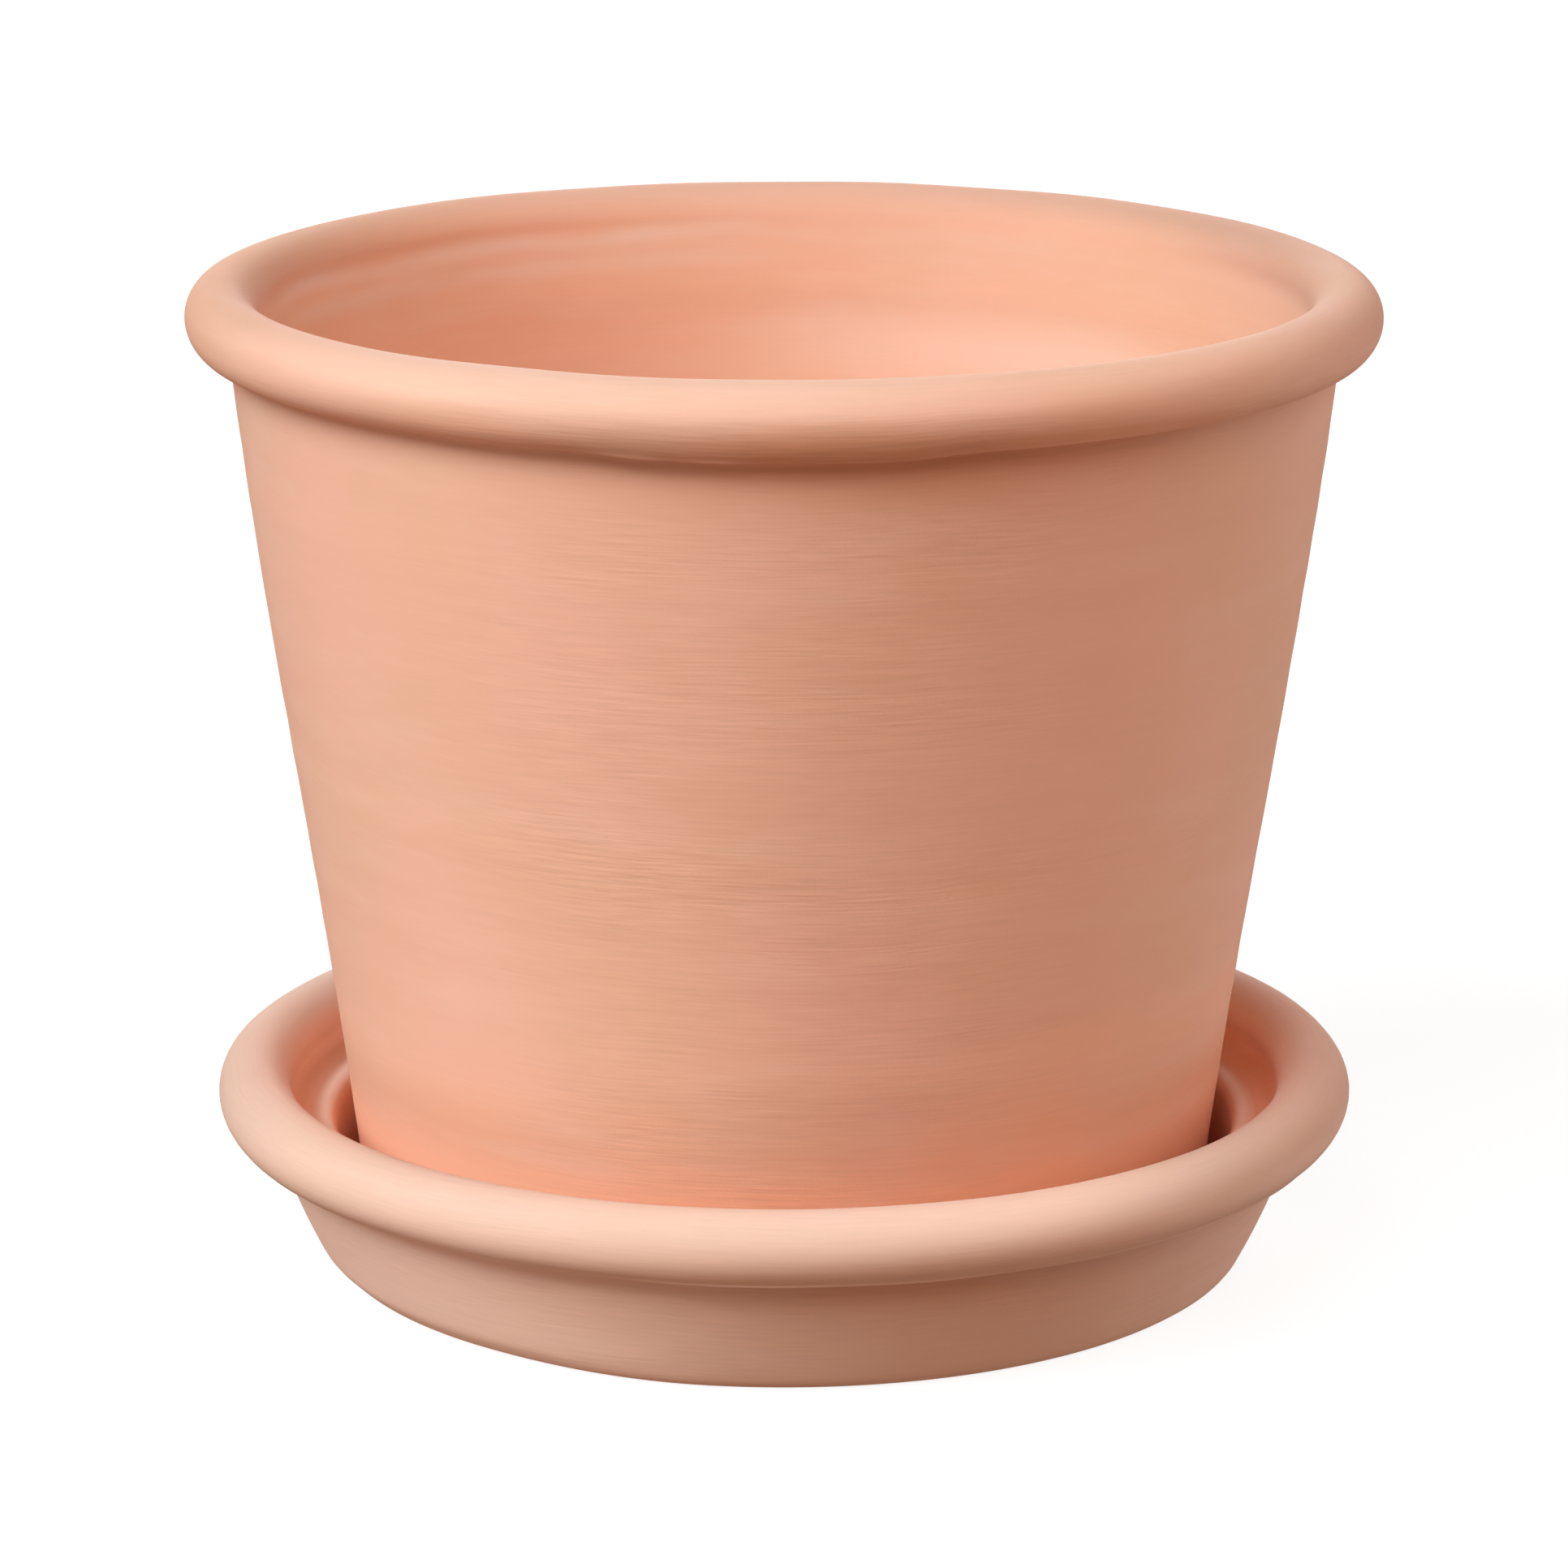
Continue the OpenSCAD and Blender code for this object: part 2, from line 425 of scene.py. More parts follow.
def turning_ridges(s, turn, seed, pitches, waves=9):
    """Low ridges that run round the piece in a slow spiral, as a wheel and a wet hand leave them."""
    rng = np.random.RandomState(seed)
    total = np.zeros(np.broadcast(s, turn).shape)
    for _ in range(waves):
        pitch = mix(pitches[0], pitches[1], rng.rand())
        phase = rng.uniform(0, 2 * math.pi)
        drift = 0.6 * np.sin(turn * rng.randint(1, 4) + rng.uniform(0, 2 * math.pi))
        total += np.sin(2 * math.pi * s / pitch + rng.randint(-1, 2) * turn + drift + phase)
    return total / math.sqrt(waves / 2)


def normals_of(rows, closed):
    """Unit vectors out of the clay at each row of a section that is traced with the clay on its left."""
    if closed:
        way = np.roll(rows, -1, axis=0) - np.roll(rows, 1, axis=0)
    else:
        way = np.gradient(rows, axis=0)
    way /= np.linalg.norm(way, axis=1)[:, None]
    return np.stack([way[:, 1], -way[:, 0]], 1)


def turned(r, z, turn):
    """Points of a section's rows turned to every angle."""
    return np.stack([r * np.cos(turn), r * np.sin(turn), z + 0 * turn], -1)


def lathe(name, rows, closed, relief, paint):
    """A mesh turned from a section.

    relief(points, turn, s, rows) gives how far the clay stands out and how far it sags, in mm.
    paint(points, turn, rows) gives named values for the material.
    """
    turn = np.arange(COLUMNS)[None, :] * (2 * math.pi / COLUMNS)
    s = lengths(rows)[:, None]
    out = normals_of(rows, closed)
    r, z = rows[:, :1], rows[:, 1:]
    plain = turned(r, z, turn)
    lift, sag = relief(plain, turn, s, rows)
    values = paint(plain, turn, rows)
    values["along"] = s
    points = turned(r + out[:, :1] * lift * MM, z + out[:, 1:] * lift * MM - sag * MM, turn)
    vertices, faces, keep = ring_mesh(points) if closed else capped_mesh(points)
    mesh = bpy.data.meshes.new(name)
    mesh.from_pydata(vertices.tolist(), [], faces)
    for key, value in values.items():
        flat = keep(np.broadcast_to(value, points.shape[:2]))
        mesh.attributes.new(key, "FLOAT", "POINT").data.foreach_set("value", flat.astype(np.float32))
    mesh.shade_smooth()
    mesh.validate()
    piece = bpy.data.objects.new(name, mesh)
    bpy.context.collection.objects.link(piece)
    return piece


def quads(lower, upper):
    """Faces between pairs of neighbouring rings."""
    ring = np.arange(COLUMNS)
    after = np.roll(ring, -1)
    corners = [(lower, ring), (lower, after), (upper, after), (upper, ring)]
    return np.stack([(row[:, None] * COLUMNS + column).ravel() for row, column in corners], 1).tolist()


def ring_mesh(points):
    """Vertices and faces of a closed section, whose last row is its first. keep() flattens row values."""
    rings = np.arange(len(points) - 1)
    return points[:-1].reshape(-1, 3), quads(rings, np.roll(rings, -1)), lambda value: value[:-1].ravel()


def capped_mesh(points):
    """Vertices and faces of a section that begins and ends on the axis. keep() flattens row values."""
    rings = np.arange(len(points) - 2)
    ring = np.arange(COLUMNS)
    after = np.roll(ring, -1)
    first = len(rings) * COLUMNS
    last = first + 1
    top = first - COLUMNS
    faces = quads(rings[:-1], rings[1:])
    faces += [(first, a, b) for a, b in zip(after.tolist(), ring.tolist())]
    faces += [(last, a, b) for a, b in zip((top + ring).tolist(), (top + after).tolist())]
    ends = points[[0, -1], 0] * (0, 0, 1)
    vertices = np.concatenate([points[1:-1].reshape(-1, 3), ends])
    return vertices, faces, lambda value: np.concatenate([value[1:-1].ravel(), value[[0, -1], 0]])


# ---------------------------------------------------------------- relief and paint of the pot

def outside(rows, radius):
    """1 for rows on the outer side of this radius, else 0."""
    return rise(rows[:, :1], radius - 1 * MM, radius + 1 * MM)


def inner_side(rows):
    """1 for rows on the inner face of a wall with a roll, else 0."""
    s = lengths(rows)[:, None]
    top = s[np.argmax(rows[:, 1])]
    return rise(s, top - 1 * MM, top + 3 * MM)


def pot_places(rows):
    """Height of each row, and its share of the pot's inside and of the outer side of its roll."""
    inner = inner_side(rows)
    return rows[:, 1:] / MM, inner, outside(rows, POT_ROLL_SIDE_R) * (1 - inner)


def groove_share(turn):
    """Where the joint between the pot's roll and its inner wall was left open: at the left and back."""
    return window(turn, -156, -80, 40)


def smears_share(turn, h):
    """Blobs of height 1 where clay was pressed out under the roll."""
    total = 0
    for heading, half_angle, height, half_height in SMEARS:
        total = total + hump(degrees_from(turn, heading), 0, half_angle) * hump(h, height, half_height)
    return total


def pot_relief(points, turn, s, rows):
    """How far the pot's clay stands out from its plain section, and how far it sags."""
    h, inner, roll_side = pot_places(rows)
    dents = 0.07 * soft_dents(points, *POT_DENTS) + 0.014 * turning_ridges(s, turn, *POT_RIDGES)
    dents = dents * rise(h, FOOT_H + 1, FOOT_H + 6)
    waver = 0.5 * np.sin(3 * turn + 1.0) + 0.3 * np.sin(7 * turn)
    open_joint = hump(h, 146.2 + waver, 1.3) - 0.5 * hump(h, 142.8 + waver, 1.8)
    groove = -0.09 * inner * groove_share(turn) * open_joint
    closed_joint = rise(h, 116, 141) * fall(h, 141.5, 149.5)
    filling = 0.5 * inner * closed_joint * window(turn, 90, 205, 50)
    smears = 0.1 * roll_side * smears_share(turn, h)
    edge = 0.07 * roll_side * hump(h, 149.3, 1.2) * window(turn, -65, 20, 30)
    low_left = fall(h, 14, 45) * window(turn, -120, -65, 40) * rise(h, FOOT_H + 1, FOOT_H + 5)
    lift = dents + groove + filling + smears + edge + 0.25 * (1 - inner) * low_left
    sag = 0.68 * roll_side * hump(h, 141.5, 2.2) * window(turn, -17, 14, 10)
    return lift, sag


def pot_pale_and_highlight(turn, h, inner, roll_side, uneven):
    """Share of pale colour: chalky clay on the smears, the right of the wall and inside, and on the roll's
    front partly chalky clay and partly painted highlight.
    """
    # Painted highlight in part: the top of the roll's front is paler on the side the lamps light most
    roll_front = 0.5 * rise(h, 144, 148.5) * window(turn, -52, 14, 34)
    smears = 0.9 * roll_side * smears_share(turn, h)
    right = 0.12 * (1 - inner) * window(turn, 22, 80, 30) * rise(h, 34, 60)
    lines = hump(h, 144.6 + 0.7 * uneven, 1.3) + 0.7 * hump(h, 141.2, 1.5)
    strokes = lines * (0.12 + 0.7 * window(turn, -170, -105, 30)) * (0.65 + 0.3 * uneven)
    rubbed = 0.75 * hump(h, 127, 6) * window(turn, 130, 182, 30)
    return roll_front + smears + right + inner * (strokes + rubbed)


def warm_and_bounce_inside(turn, h, uneven):
    """Share of warm colour inside the pot, partly the clay's own and partly painted bounce light: everywhere
    below the roll, and least low at the back left.
    """
    # Painted bounce light in part: the inside is made warmer, as light thrown back by the clay would make it
    wall = 0.3 + 0.24 * window(turn, -200, -20, 60) + 0.15 * window(turn, 100, 140, 30)
    wall = wall * fall(h, 141, 149)
    joint = 0.25 * hump(h, 147.2 + 0.4 * uneven, 1.1) * groove_share(turn)
    roll_flank = 0.25 * rise(h, 142, 147) * fall(h, 150, 152) * window(turn, 90, 250, 50)
    below_joint = 0.2 * hump(h, 141, 6) * window(turn, -140, -85, 30)
    back_left = 0.35 * fall(h, 126, 136) * window(turn, -178, -135, 40)
    return wall + joint + roll_flank + below_joint - back_left


def warm_and_bounce_outside(turn, h, uneven):
    """Share of warm colour outside: at the roll's left end, round the foot, where it is partly the clay's
    own and partly painted bounce light from the saucer, and at the lower right.
    """
    roll_end = 0.3 * rise(h, 144, 148) * window(turn, -112, -72, 24)
    # Round the foot the warm colour is partly painted bounce light from the saucer
    foot = fall(h + 3 * uneven, FOOT_H + 20, FOOT_H + 38) * (0.55 + 0.3 * window(turn, 5, 110, 60))
    lower_right = 0.35 * hump(h + 1.5 * uneven, 46, 5) * window(turn, 20, 110, 40)
    return roll_end + foot + lower_right


def warm_and_shade_under_roll(turn, h):
    """Share of warm colour on the lower half of the roll's front, partly the clay's own and partly painted
    shade, and of painted shade in the corner below it.
    """
    # Painted shade: the warm colour of clay in shadow under the roll
    lower_half = rise(h, 141.8, 143.2) * fall(h, 147.2, 148.2) * (1 - smears_share(turn, h))
    corner = 0.8 * hump(h, 142.4, 3.6) * window(turn, -6, 50, 20)
    return 0.32 * lower_half * window(turn, -38, 14, 24) + corner


def pot_warm(turn, h, inner, roll_side, uneven):
    """Share of warm colour: the clay's own, painted bounce light and painted shade."""
    faces = mix(warm_and_bounce_outside(turn, h, uneven), warm_and_bounce_inside(turn, h, uneven), inner)
    return faces + roll_side * warm_and_shade_under_roll(turn, h)


def tone_inside(turn, h):
    """How much lighter than its colour the clay is inside the pot. Below 0 it is darker."""
    roll_flank = 0.05 * hump(h, 147.3, 1.5) * window(turn, 120, 215, 30)
    upper_back = 0.06 * rise(h, 130, 142) * window(turn, 95, 215, 50)
    below_joint = 0.08 * hump(h, 141, 6) * window(turn, -140, -85, 30)
    low = 0.05 * fall(h, 126, 136)
    return roll_flank - upper_back - below_joint + low


def tone_outside(turn, h):
    """The same on the pot's outside."""
    foot = fall(h, FOOT_H + 14, FOOT_H + 34) * (0.03 + 0.08 * window(turn, -90, -35, 40))
    above_foot = 0.06 * hump(h, 41, 6) * window(turn, -25, 20, 20)
    right = 0.04 * hump(h, 90, 35) * window(turn, 15, 50, 25)
    return foot - above_foot + right


def roll_side_light_shade_and_smears(turn, h):
    """How much lighter the clay is on the roll's front and in the corner below it: a painted highlight along
    the roll's front edge, painted shade on its lower half and in the corner below, and paler clay on the
    smears.
    """
    # Painted highlight on the edge; painted shade on the lower half and in the corner under the roll
    edge = 0.08 * hump(h, 148.5, 1) * window(turn, -45, 30, 30)
    lower_half = 0.04 * rise(h, 140.5, 142) * fall(h, 146.6, 148) * window(turn, -34, 14, 24)
    corner = 0.14 * hump(h, 142.6, 2.6) * window(turn, -22, 22, 16)
    return edge - lower_half - corner + 0.2 * smears_share(turn, h)


def pot_painted_light_and_tone(turn, h, inner, roll_side):
    """How light the clay is against its colour: painted shade on the roll's brightly lit ends and back
    crest, and the lighter and darker parts inside, outside and on the roll's side.
    """
    # Painted shade: the roll's ends and back crest are darkened where the lamps light them most
    roll_ends = 0.12 * window(turn, -130, -62, 40) + 0.14 * window(turn, 55, 125, 40)
    back_crest = 0.08 * window(turn, 115, 235, 40) + 0.04 * window(turn, 110, 160, 30)
    roll = rise(h, 144, 148) * roll_ends + rise(h, 148, 151.5) * back_crest
    faces = mix(tone_outside(turn, h), tone_inside(turn, h), inner)
    return 1 - roll + faces + roll_side * roll_side_light_shade_and_smears(turn, h)


def pot_brush(turn, h, inner, roll_side):
    """Strength of the fine brushed streaks: low at the left and inside, high in a few rings."""
    rings = 0.8 + 0.5 * hump(h, 79, 5) + 0.6 * hump(h, 60, 5)
    outer = (0.2 + 0.85 * window(turn, -30, 28, 30)) * rings + 0.6 * roll_side * hump(h, 143, 3)
    return mix(outer, 0.15, inner)


def pot_paint(points, turn, rows):
    """Named values that tell the material where the pot's clay differs and where light and shade are painted
    on it.
    """
    h, inner, roll_side = pot_places(rows)
    uneven = soft_dents(points, *POT_BLOTCHES)
    return {
        "pale": pot_pale_and_highlight(turn, h, inner, roll_side, uneven),
        "warm": pot_warm(turn, h, inner, roll_side, uneven),
        "light_and_tone": pot_painted_light_and_tone(turn, h, inner, roll_side),
        "brush": pot_brush(turn, h, inner, roll_side),
    }


# ---------------------------------------------------------------- relief and paint of the saucer

def fin_distance(rows):
    """Distance of each row from the middle of the fin, round the roll."""
    up = (rows[:, 1:] - SAUCER_ROLL_C[1]) / SAUCER_ROLL[1]
    out = (rows[:, :1] - SAUCER_ROLL_C[0]) / SAUCER_ROLL[0]
    return np.radians(np.degrees(np.arctan2(up, out)) - FIN_ANGLE) * SAUCER_ROLL[0]


def fin_share(turn, rows):
    """Share of the full height of the parting fin that a mould left on the roll: worn at the left."""
    profile = (1 - inner_side(rows)) * hump(fin_distance(rows), 0, FIN_HALF_W)
    strong = window(turn, -12, 180, 14) + 0.35 * window(turn, -60, -5, 16)
    return profile * strong * (0.8 + 0.12 * np.sin(9 * turn + 2) + 0.08 * np.sin(23 * turn))


def saucer_relief(points, turn, s, rows):
    """How far the saucer's clay stands out from its plain section, and how far it sags."""
    r, z = rows[:, :1], rows[:, 1:]
    h = z / MM
    floor_h = SAUCER_FLOOR_T / MM
    on_floor = (r < WELL_R + 1 * MM) * fall(h, floor_h + 0.5, floor_h + 3)
    dents = 0.06 * soft_dents(points, *SAUCER_DENTS) + 0.012 * turning_ridges(s, turn, *SAUCER_RIDGES)
    dents = dents * rise(h, 0.5, 3) * (1 - on_floor)
    foot_edge = hump(h, 0.9, 1.4) * outside(rows, SAUCER_FOOT_SIDE_R) * (1 - inner_side(rows))
    worn = 0.6 * foot_edge * window(turn, -100, -25, 30)
    return dents + FIN_H_MM * fin_share(turn, rows) - worn, 0


def saucer_places(turn, rows):
    """Shares, from 0 to 1, of the saucer's parts and sides in each row and at each angle."""
    r, h = rows[:, :1], rows[:, 1:] / MM
    inner = inner_side(rows)
    well = inner * fall(r, LEDGE_R - 2.3 * MM, LEDGE_R - 0.8 * MM)
    ledge = inner * hump(r, LEDGE_R, 1.2 * MM) * (1 - well)
    return SimpleNamespace(
        h=h,
        inner=inner,
        well=well,
        well_side=well * rise(r, WELL_R - 14 * MM, WELL_R - 1 * MM),
        ledge=ledge,
        hollow=inner * fall(h, 23.5, 28) * (1 - ledge) * (1 - well),
        flank=inner * rise(h, 22.3, 24.5) * fall(h, 27, 31),
        wall=(1 - inner) * fall(h, 20, 22),
        roll=rise(h, 24, 28),
        left=window(turn, -110, -15, 40),
        back_left=window(turn, -140, -92, 24),
        right=window(turn, 75, 140, 30),
        roll_right=window(turn, 50, 115, 30),
    )


def saucer_pale_and_painted_light(turn, at, fin, uneven):
    """Share of pale colour: chalky clay on the roll, the fin and the wall's left, painted highlight in part
    on the roll's front, and painted light on the ledge and on the shaded inner flank at the back left.
    """
    # Painted light: the roll's front, the ledge and the shaded flank at the back left are made paler
    roll = rise(at.h, 24, 29) * (0.1 + 0.25 * window(turn, -50, 30, 40) - 0.1 * at.roll_right)
    ledge = at.ledge * (0.6 + 0.1 * uneven)
    return roll + 0.5 * fin + ledge + 0.35 * at.wall * at.left + 0.6 * at.flank * at.back_left


def saucer_warm_and_shade(turn, at):
    """Share of warm colour: painted shade in the well and in the hollow inside the roll, stains on the wall
    at the right, and warmer clay on the roll's right.
    """
    # Painted shade: the well and the hollow get the warm colour of clay in shadow
    well = 0.25 * at.well + 0.65 * at.well_side
    hollow = at.hollow * (0.95 - 0.5 * at.back_left)
    stains = hump(at.h, 18, 3) * window(turn, 2, 24, 12) + 0.4 * window(turn, 20, 80, 30)
    return well + hollow + 0.3 * at.wall * stains + 0.2 * at.roll * at.roll_right


def saucer_painted_light_and_tone(turn, at):
    """How light the clay is against its colour: painted light on the well's side, the ledge and the roll's
    inner flank where they lie in shade, most at the back left, painted shade on the roll's lit ends, and
    lighter on the wall's left and a little on the roll's front right.
    """
    wall = 0.12 * at.wall * at.left
    # Painted light: the well's side, the ledge and the flank are lightened where they lie in shade
    well = (0.16 + 0.08 * at.left) * at.well_side
    ledge = at.ledge * (0.1 * at.right + 0.06 * at.back_left)
    flank = at.flank * (0.07 * at.right + 0.3 * at.back_left)
    # Painted shade: the roll's ends are darkened where the lamps light them most
    roll_ends = 0.11 * window(turn, -120, -65, 30) + 0.15 * window(turn, 40, 115, 30)
    roll = at.roll * (0.04 * window(turn, 10, 38, 16) - roll_ends * (1 - at.flank))
    return 1 + wall + well + ledge + flank + roll


def saucer_paint(points, turn, rows):
    """Named values that tell the material where the saucer's clay differs and where light and shade are
    painted on it.
    """
    at = saucer_places(turn, rows)
    uneven = soft_dents(points, *SAUCER_BLOTCHES)
    return {
        "pale": saucer_pale_and_painted_light(turn, at, fin_share(turn, rows), uneven),
        "warm": saucer_warm_and_shade(turn, at),
        "light_and_tone": saucer_painted_light_and_tone(turn, at),
        "brush": mix(0.45 + 0.4 * window(turn, -40, 20, 30), 0.3, at.inner),
    }


def make_pot():
    """The pot, in one piece of clay."""
    section = softened(pot_section(), EDGE_SOFTNESS, closed=True)
    return lathe("pot_clay", rows_of(section, pot_spacing), True, pot_relief, pot_paint)


def make_saucer():
    """The saucer, in one piece of clay."""
    section = softened(saucer_section(), EDGE_SOFTNESS, closed=False)
    return lathe("saucer_clay", rows_of(section, saucer_spacing), False, saucer_relief, saucer_paint)


# ---------------------------------------------------------------- materials

def add(tree, kind, inputs=None, **settings):
    """A new node. An input's value is a number or colour, or a socket that is linked to it."""
    node = tree.nodes.new("ShaderNode" + kind)
    for key, value in settings.items():
        setattr(node, key, value)
    for key, value in (inputs or {}).items():
        if isinstance(value, bpy.types.NodeSocket):
            tree.links.new(value, node.inputs[key])
        else:
            node.inputs[key].default_value = value
    return node


def math_node(tree, operation, a, b, c=0.0):
    """The result of a sum on numbers or sockets."""
    return add(tree, "Math", {0: a, 1: b, 2: c}, operation=operation).outputs[0]


def scaled(tree, vector, scale):
    """A vector or colour times a number or socket."""
    return add(tree, "VectorMath", {0: vector, "Scale": scale}, operation="SCALE").outputs[0]


def noise(tree, vector, detail, rough=0.5):
    """Noise from 0 to 1 whose blobs are about one unit across."""
    inputs = {"Vector": vector, "Scale": 1.0, "Detail": detail, "Roughness": rough}
    return add(tree, "TexNoise", inputs).outputs["Fac"]


def spread(tree, value, low, high):
    """0 below low, 1 above high, smooth between."""
    inputs = {"Value": value, "From Min": low, "From Max": high}
    return add(tree, "MapRange", inputs, interpolation_type="SMOOTHSTEP").outputs[0]


def mixed(tree, share, a, b):
    """Colour a share of the way from a to b."""
    return add(tree, "Mix", {"Factor": share, 6: a, 7: b}, data_type="RGBA").outputs[2]


def mixed_value(tree, share, a, b):
    """Value a share of the way from a to b."""
    return add(tree, "Mix", {"Factor": share, 2: a, 3: b}, data_type="FLOAT", clamp_factor=False).outputs[0]


def around_one(tree, layers, shares):
    """1 plus each named layer less a half, times its share."""
    total = 1.0
    for name, amplitude in shares.items():
        centred = math_node(tree, "SUBTRACT", layers[name], 0.5)
        total = math_node(tree, "MULTIPLY_ADD", centred, amplitude, total)
    return total


def painted(tree, name):
    """A value that was painted on the mesh."""
    return add(tree, "Attribute", attribute_name=name).outputs["Fac"]


def clay_layers(tree):
    """Every noise layer of the clay. All but the grain run round the piece, with a slow waver."""
    place = add(tree, "TexCoord").outputs["Object"]
    x, y, _ = add(tree, "SeparateXYZ", {0: place}).outputs
    waver = math_node(tree, "SUBTRACT", noise(tree, scaled(tree, place, 1 / WAVER_LENGTH), 1.0), 0.5)
    along = math_node(tree, "MULTIPLY_ADD", waver, WAVER, painted(tree, "along"))
    layers = {"grain": noise(tree, scaled(tree, place, 1 / GRAIN_SIZE), 2.0, 0.6)}
    for name, (width, height, shift, detail, rough) in LAYERS.items():
        vector = add(tree, "CombineXYZ", {
            0: math_node(tree, "MULTIPLY_ADD", x, 1 / width, shift),
            1: math_node(tree, "MULTIPLY", y, 1 / width),
            2: math_node(tree, "MULTIPLY", along, 1 / height),
        }).outputs[0]
        layers[name] = noise(tree, vector, detail, rough)
    return layers


def brush_layers(tree, layers):
    """Flatten the fine layers where the clay is less brushed: in patches, and where the mesh says so."""
    patches = math_node(tree, "MULTIPLY_ADD", spread(tree, layers["patches"], 0.35, 0.65), 0.9, 0.55)
    brushed = math_node(tree, "MULTIPLY", patches, painted(tree, "brush"))
    layers["fine"] = mixed_value(tree, brushed, 0.5, layers["fine"])
    grainy = math_node(tree, "MULTIPLY_ADD", brushed, 0.8, 0.2)
    layers["grain"] = mixed_value(tree, grainy, 0.5, layers["grain"])
    streaky = math_node(tree, "MULTIPLY_ADD", brushed, 0.7, 0.3)
    layers["streaks"] = mixed_value(tree, streaky, 0.5, layers["streaks"])


def clay_colour(tree, layers, clay):
    """Pink and tan clay, warmer and paler where the painted shares say, which hold the clay's own colours
    and also painted shade, bounce light and highlight, and lighter or darker by painted light and shade and
    by random unevenness.
    """
    colour = mixed(tree, spread(tree, layers["mottle"], 0.3, 0.7), (*clay["tan"], 1), (*clay["pink"], 1))
    # Warm share: the clay's own warmth, painted shade and painted bounce light
    warm_share = math_node(tree, "MULTIPLY_ADD", spread(tree, layers["streaks"], 0.2, 0.8), 0.3, 0.7)
    warm_share = math_node(tree, "MULTIPLY", warm_share, painted(tree, "warm"))
    colour = mixed(tree, warm_share, colour, (*clay["warm"], 1))
    # Pale share: chalky clay and painted highlight
    pale_share = math_node(tree, "MULTIPLY", spread(tree, layers["chalk"], 0.45, 0.75), clay["chalk"])
    pale_share = math_node(tree, "ADD", pale_share, painted(tree, "pale"))
    colour = mixed(tree, pale_share, colour, (*clay["pale"], 1))
    # Lightness: painted light and shade, times random unevenness of the clay
    level = math_node(tree, "MULTIPLY", around_one(tree, layers, LEVEL_SHARES), painted(tree, "light_and_tone"))
    return scaled(tree, colour, level)


def clay_bump(tree, layers):
    """Normals of the clay's fine relief."""
    height = math_node(tree, "MULTIPLY", layers["fine"], BUMP_HEIGHTS["fine"])
    for name in ("streaks", "grain"):
        height = math_node(tree, "MULTIPLY_ADD", layers[name], BUMP_HEIGHTS[name], height)
    return add(tree, "Bump", {"Height": height, "Distance": 1.0, "Strength": 1.0}).outputs[0]


def clay_material(name, clay):
    """Matt unglazed clay with brushed turning streaks, soft mottling, chalky patches and fine grain."""
    material = bpy.data.materials.new(name)
    material.use_nodes = True
    tree = material.node_tree
    layers = clay_layers(tree)
    brush_layers(tree, layers)
    rough = math_node(tree, "MULTIPLY", around_one(tree, layers, ROUGH_SHARES), ROUGHNESS)
    shader = tree.nodes["Principled BSDF"]
    tree.links.new(clay_colour(tree, layers, clay), shader.inputs["Base Color"])
    tree.links.new(rough, shader.inputs["Roughness"])
    tree.links.new(clay_bump(tree, layers), shader.inputs["Normal"])
    shader.inputs["Specular IOR Level"].default_value = SPECULAR
    return material


# ---------------------------------------------------------------- stage, lights and camera

def lit_paper(name, glow, reflects):
    """White paper lit from behind: it shows as white and takes only a faint shadow."""
    material = bpy.data.materials.new(name)
    material.use_nodes = True
    shader = material.node_tree.nodes["Principled BSDF"]
    shader.inputs["Base Color"].default_value = (reflects, reflects, reflects, 1)
    shader.inputs["Roughness"].default_value = 1
    shader.inputs["Specular IOR Level"].default_value = 0
    shader.inputs["Emission Color"].default_value = (1, 1, 1, 1)
    shader.inputs["Emission Strength"].default_value = glow
    return material


def backdrop(name, mesh, material):
    """A stage piece that the camera sees, and that neither lights nor shades the clay."""
    piece = bpy.data.objects.new(name, mesh)
    mesh.materials.append(material)
    piece.visible_diffuse = False
    piece.visible_glossy = False
    piece.visible_shadow = False
    bpy.context.collection.objects.link(piece)


def make_stage():
    """A wide white floor under the saucer, and a white dome far outside it for low views."""
    z = saucer_low.z
    w = STAGE_R * 2
    floor = bpy.data.meshes.new("floor")
    floor.from_pydata([(-w, -w, z), (w, -w, z), (w, w, z), (-w, w, z)], [], [(0, 1, 2, 3)])
    backdrop("floor", floor, lit_paper("floor_paper", *FLOOR_PAPER))
    dome = bpy.data.meshes.new("dome")
    form = bmesh.new()
    bmesh.ops.create_uvsphere(form, u_segments=64, v_segments=32, radius=STAGE_R)
    form.to_mesh(dome)
    form.free()
    backdrop("dome", dome, lit_paper("dome_paper", *DOME_PAPER))


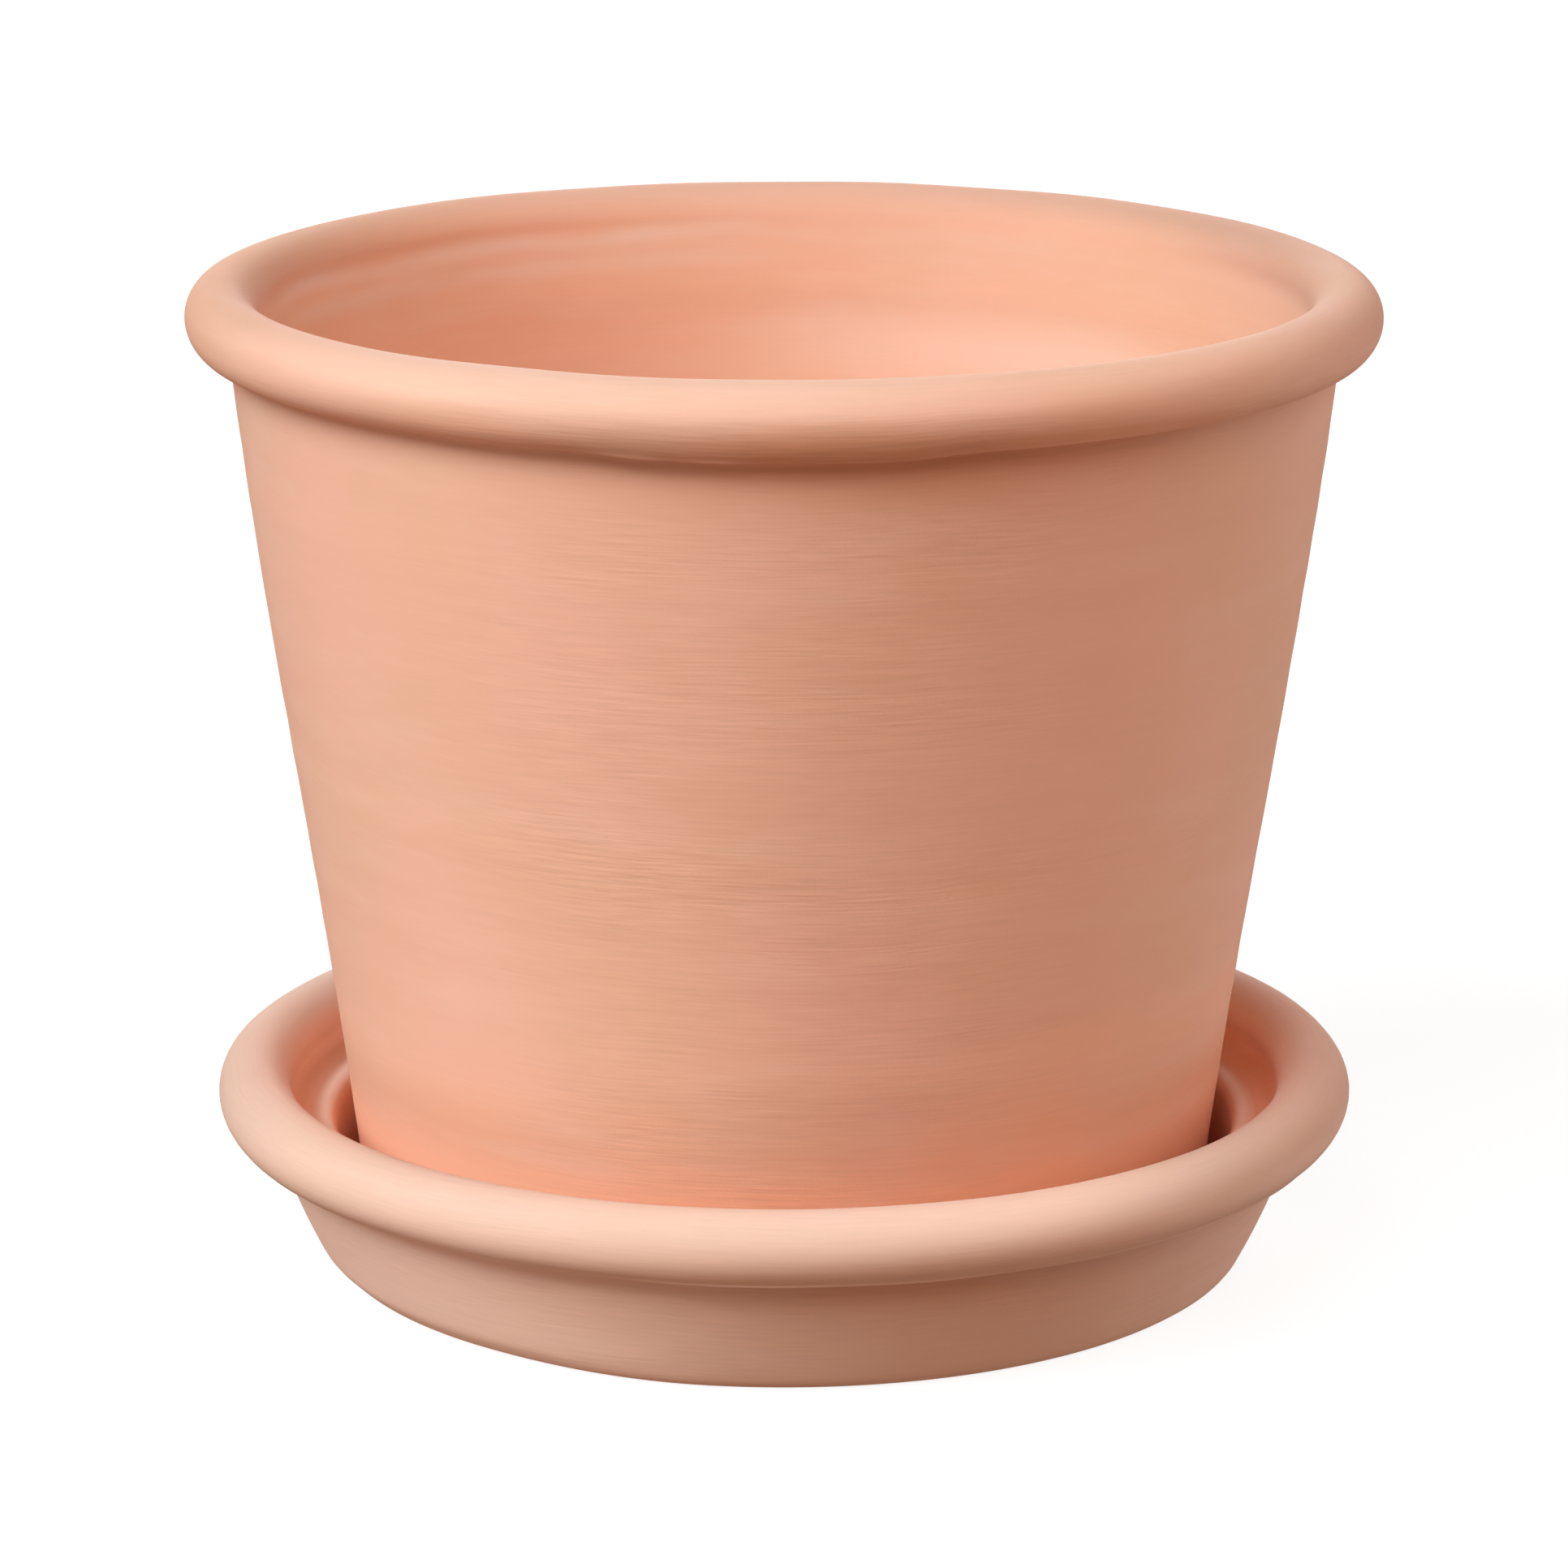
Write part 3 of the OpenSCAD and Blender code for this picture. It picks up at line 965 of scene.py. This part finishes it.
def soft_sun(name, azimuth, elevation, strength, tint):
    """A far soft light. Azimuth 0 is in front, 90 on the right; strength 1 lights white paper to 1."""
    a, e = math.radians(azimuth), math.radians(elevation)
    away = Vector((math.sin(a) * math.cos(e), -math.cos(a) * math.cos(e), math.sin(e)))
    data = bpy.data.lights.new(name, "SUN")
    data.angle = SUN_ANGLE
    data.energy = math.pi * strength
    data.color = TINTS[tint]
    light = bpy.data.objects.new(name, data)
    light.rotation_euler = (-away).to_track_quat("-Z", "Y").to_euler()
    bpy.context.collection.objects.link(light)


def make_world():
    """Light from below, because the stage lights nothing itself, and plain colours in the picture."""
    world = bpy.data.worlds.new("studio")
    world.use_nodes = True
    tree = world.node_tree
    way = add(tree, "TexCoord").outputs["Generated"]
    height = add(tree, "SeparateXYZ", {0: way}).outputs["Z"]
    glow, tint = FLOOR_GLOW
    shader = tree.nodes["Background"]
    shader.inputs["Color"].default_value = (*(glow * c for c in TINTS[tint]), 1)
    tree.links.new(math_node(tree, "LESS_THAN", height, 0.0), shader.inputs["Strength"])
    bpy.context.scene.world = world
    bpy.context.scene.view_settings.view_transform = "Standard"


def make_camera():
    """The camera in front of the pot, looking slightly down."""
    data = bpy.data.cameras.new("camera")
    data.lens = CAMERA_LENS_MM
    data.sensor_width = CAMERA_SENSOR_MM
    camera = bpy.data.objects.new("camera", data)
    back = Vector((0, -math.cos(CAMERA_PITCH), math.sin(CAMERA_PITCH)))
    camera.location = Vector((0, 0, CAMERA_TARGET_Z)) + back * CAMERA_DISTANCE
    camera.rotation_euler = (math.pi / 2 - CAMERA_PITCH, 0, 0)
    bpy.context.collection.objects.link(camera)
    bpy.context.scene.camera = camera


pot = make_pot()
pot.data.materials.append(clay_material("pot_clay", POT_CLAY))
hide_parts("pot")
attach(pot, "pot")

saucer = make_saucer()
saucer.data.materials.append(clay_material("saucer_clay", SAUCER_CLAY))
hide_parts("saucer")
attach(saucer, "saucer")

make_stage()
for sun in SUNS:
    soft_sun(*sun)
make_world()
make_camera()
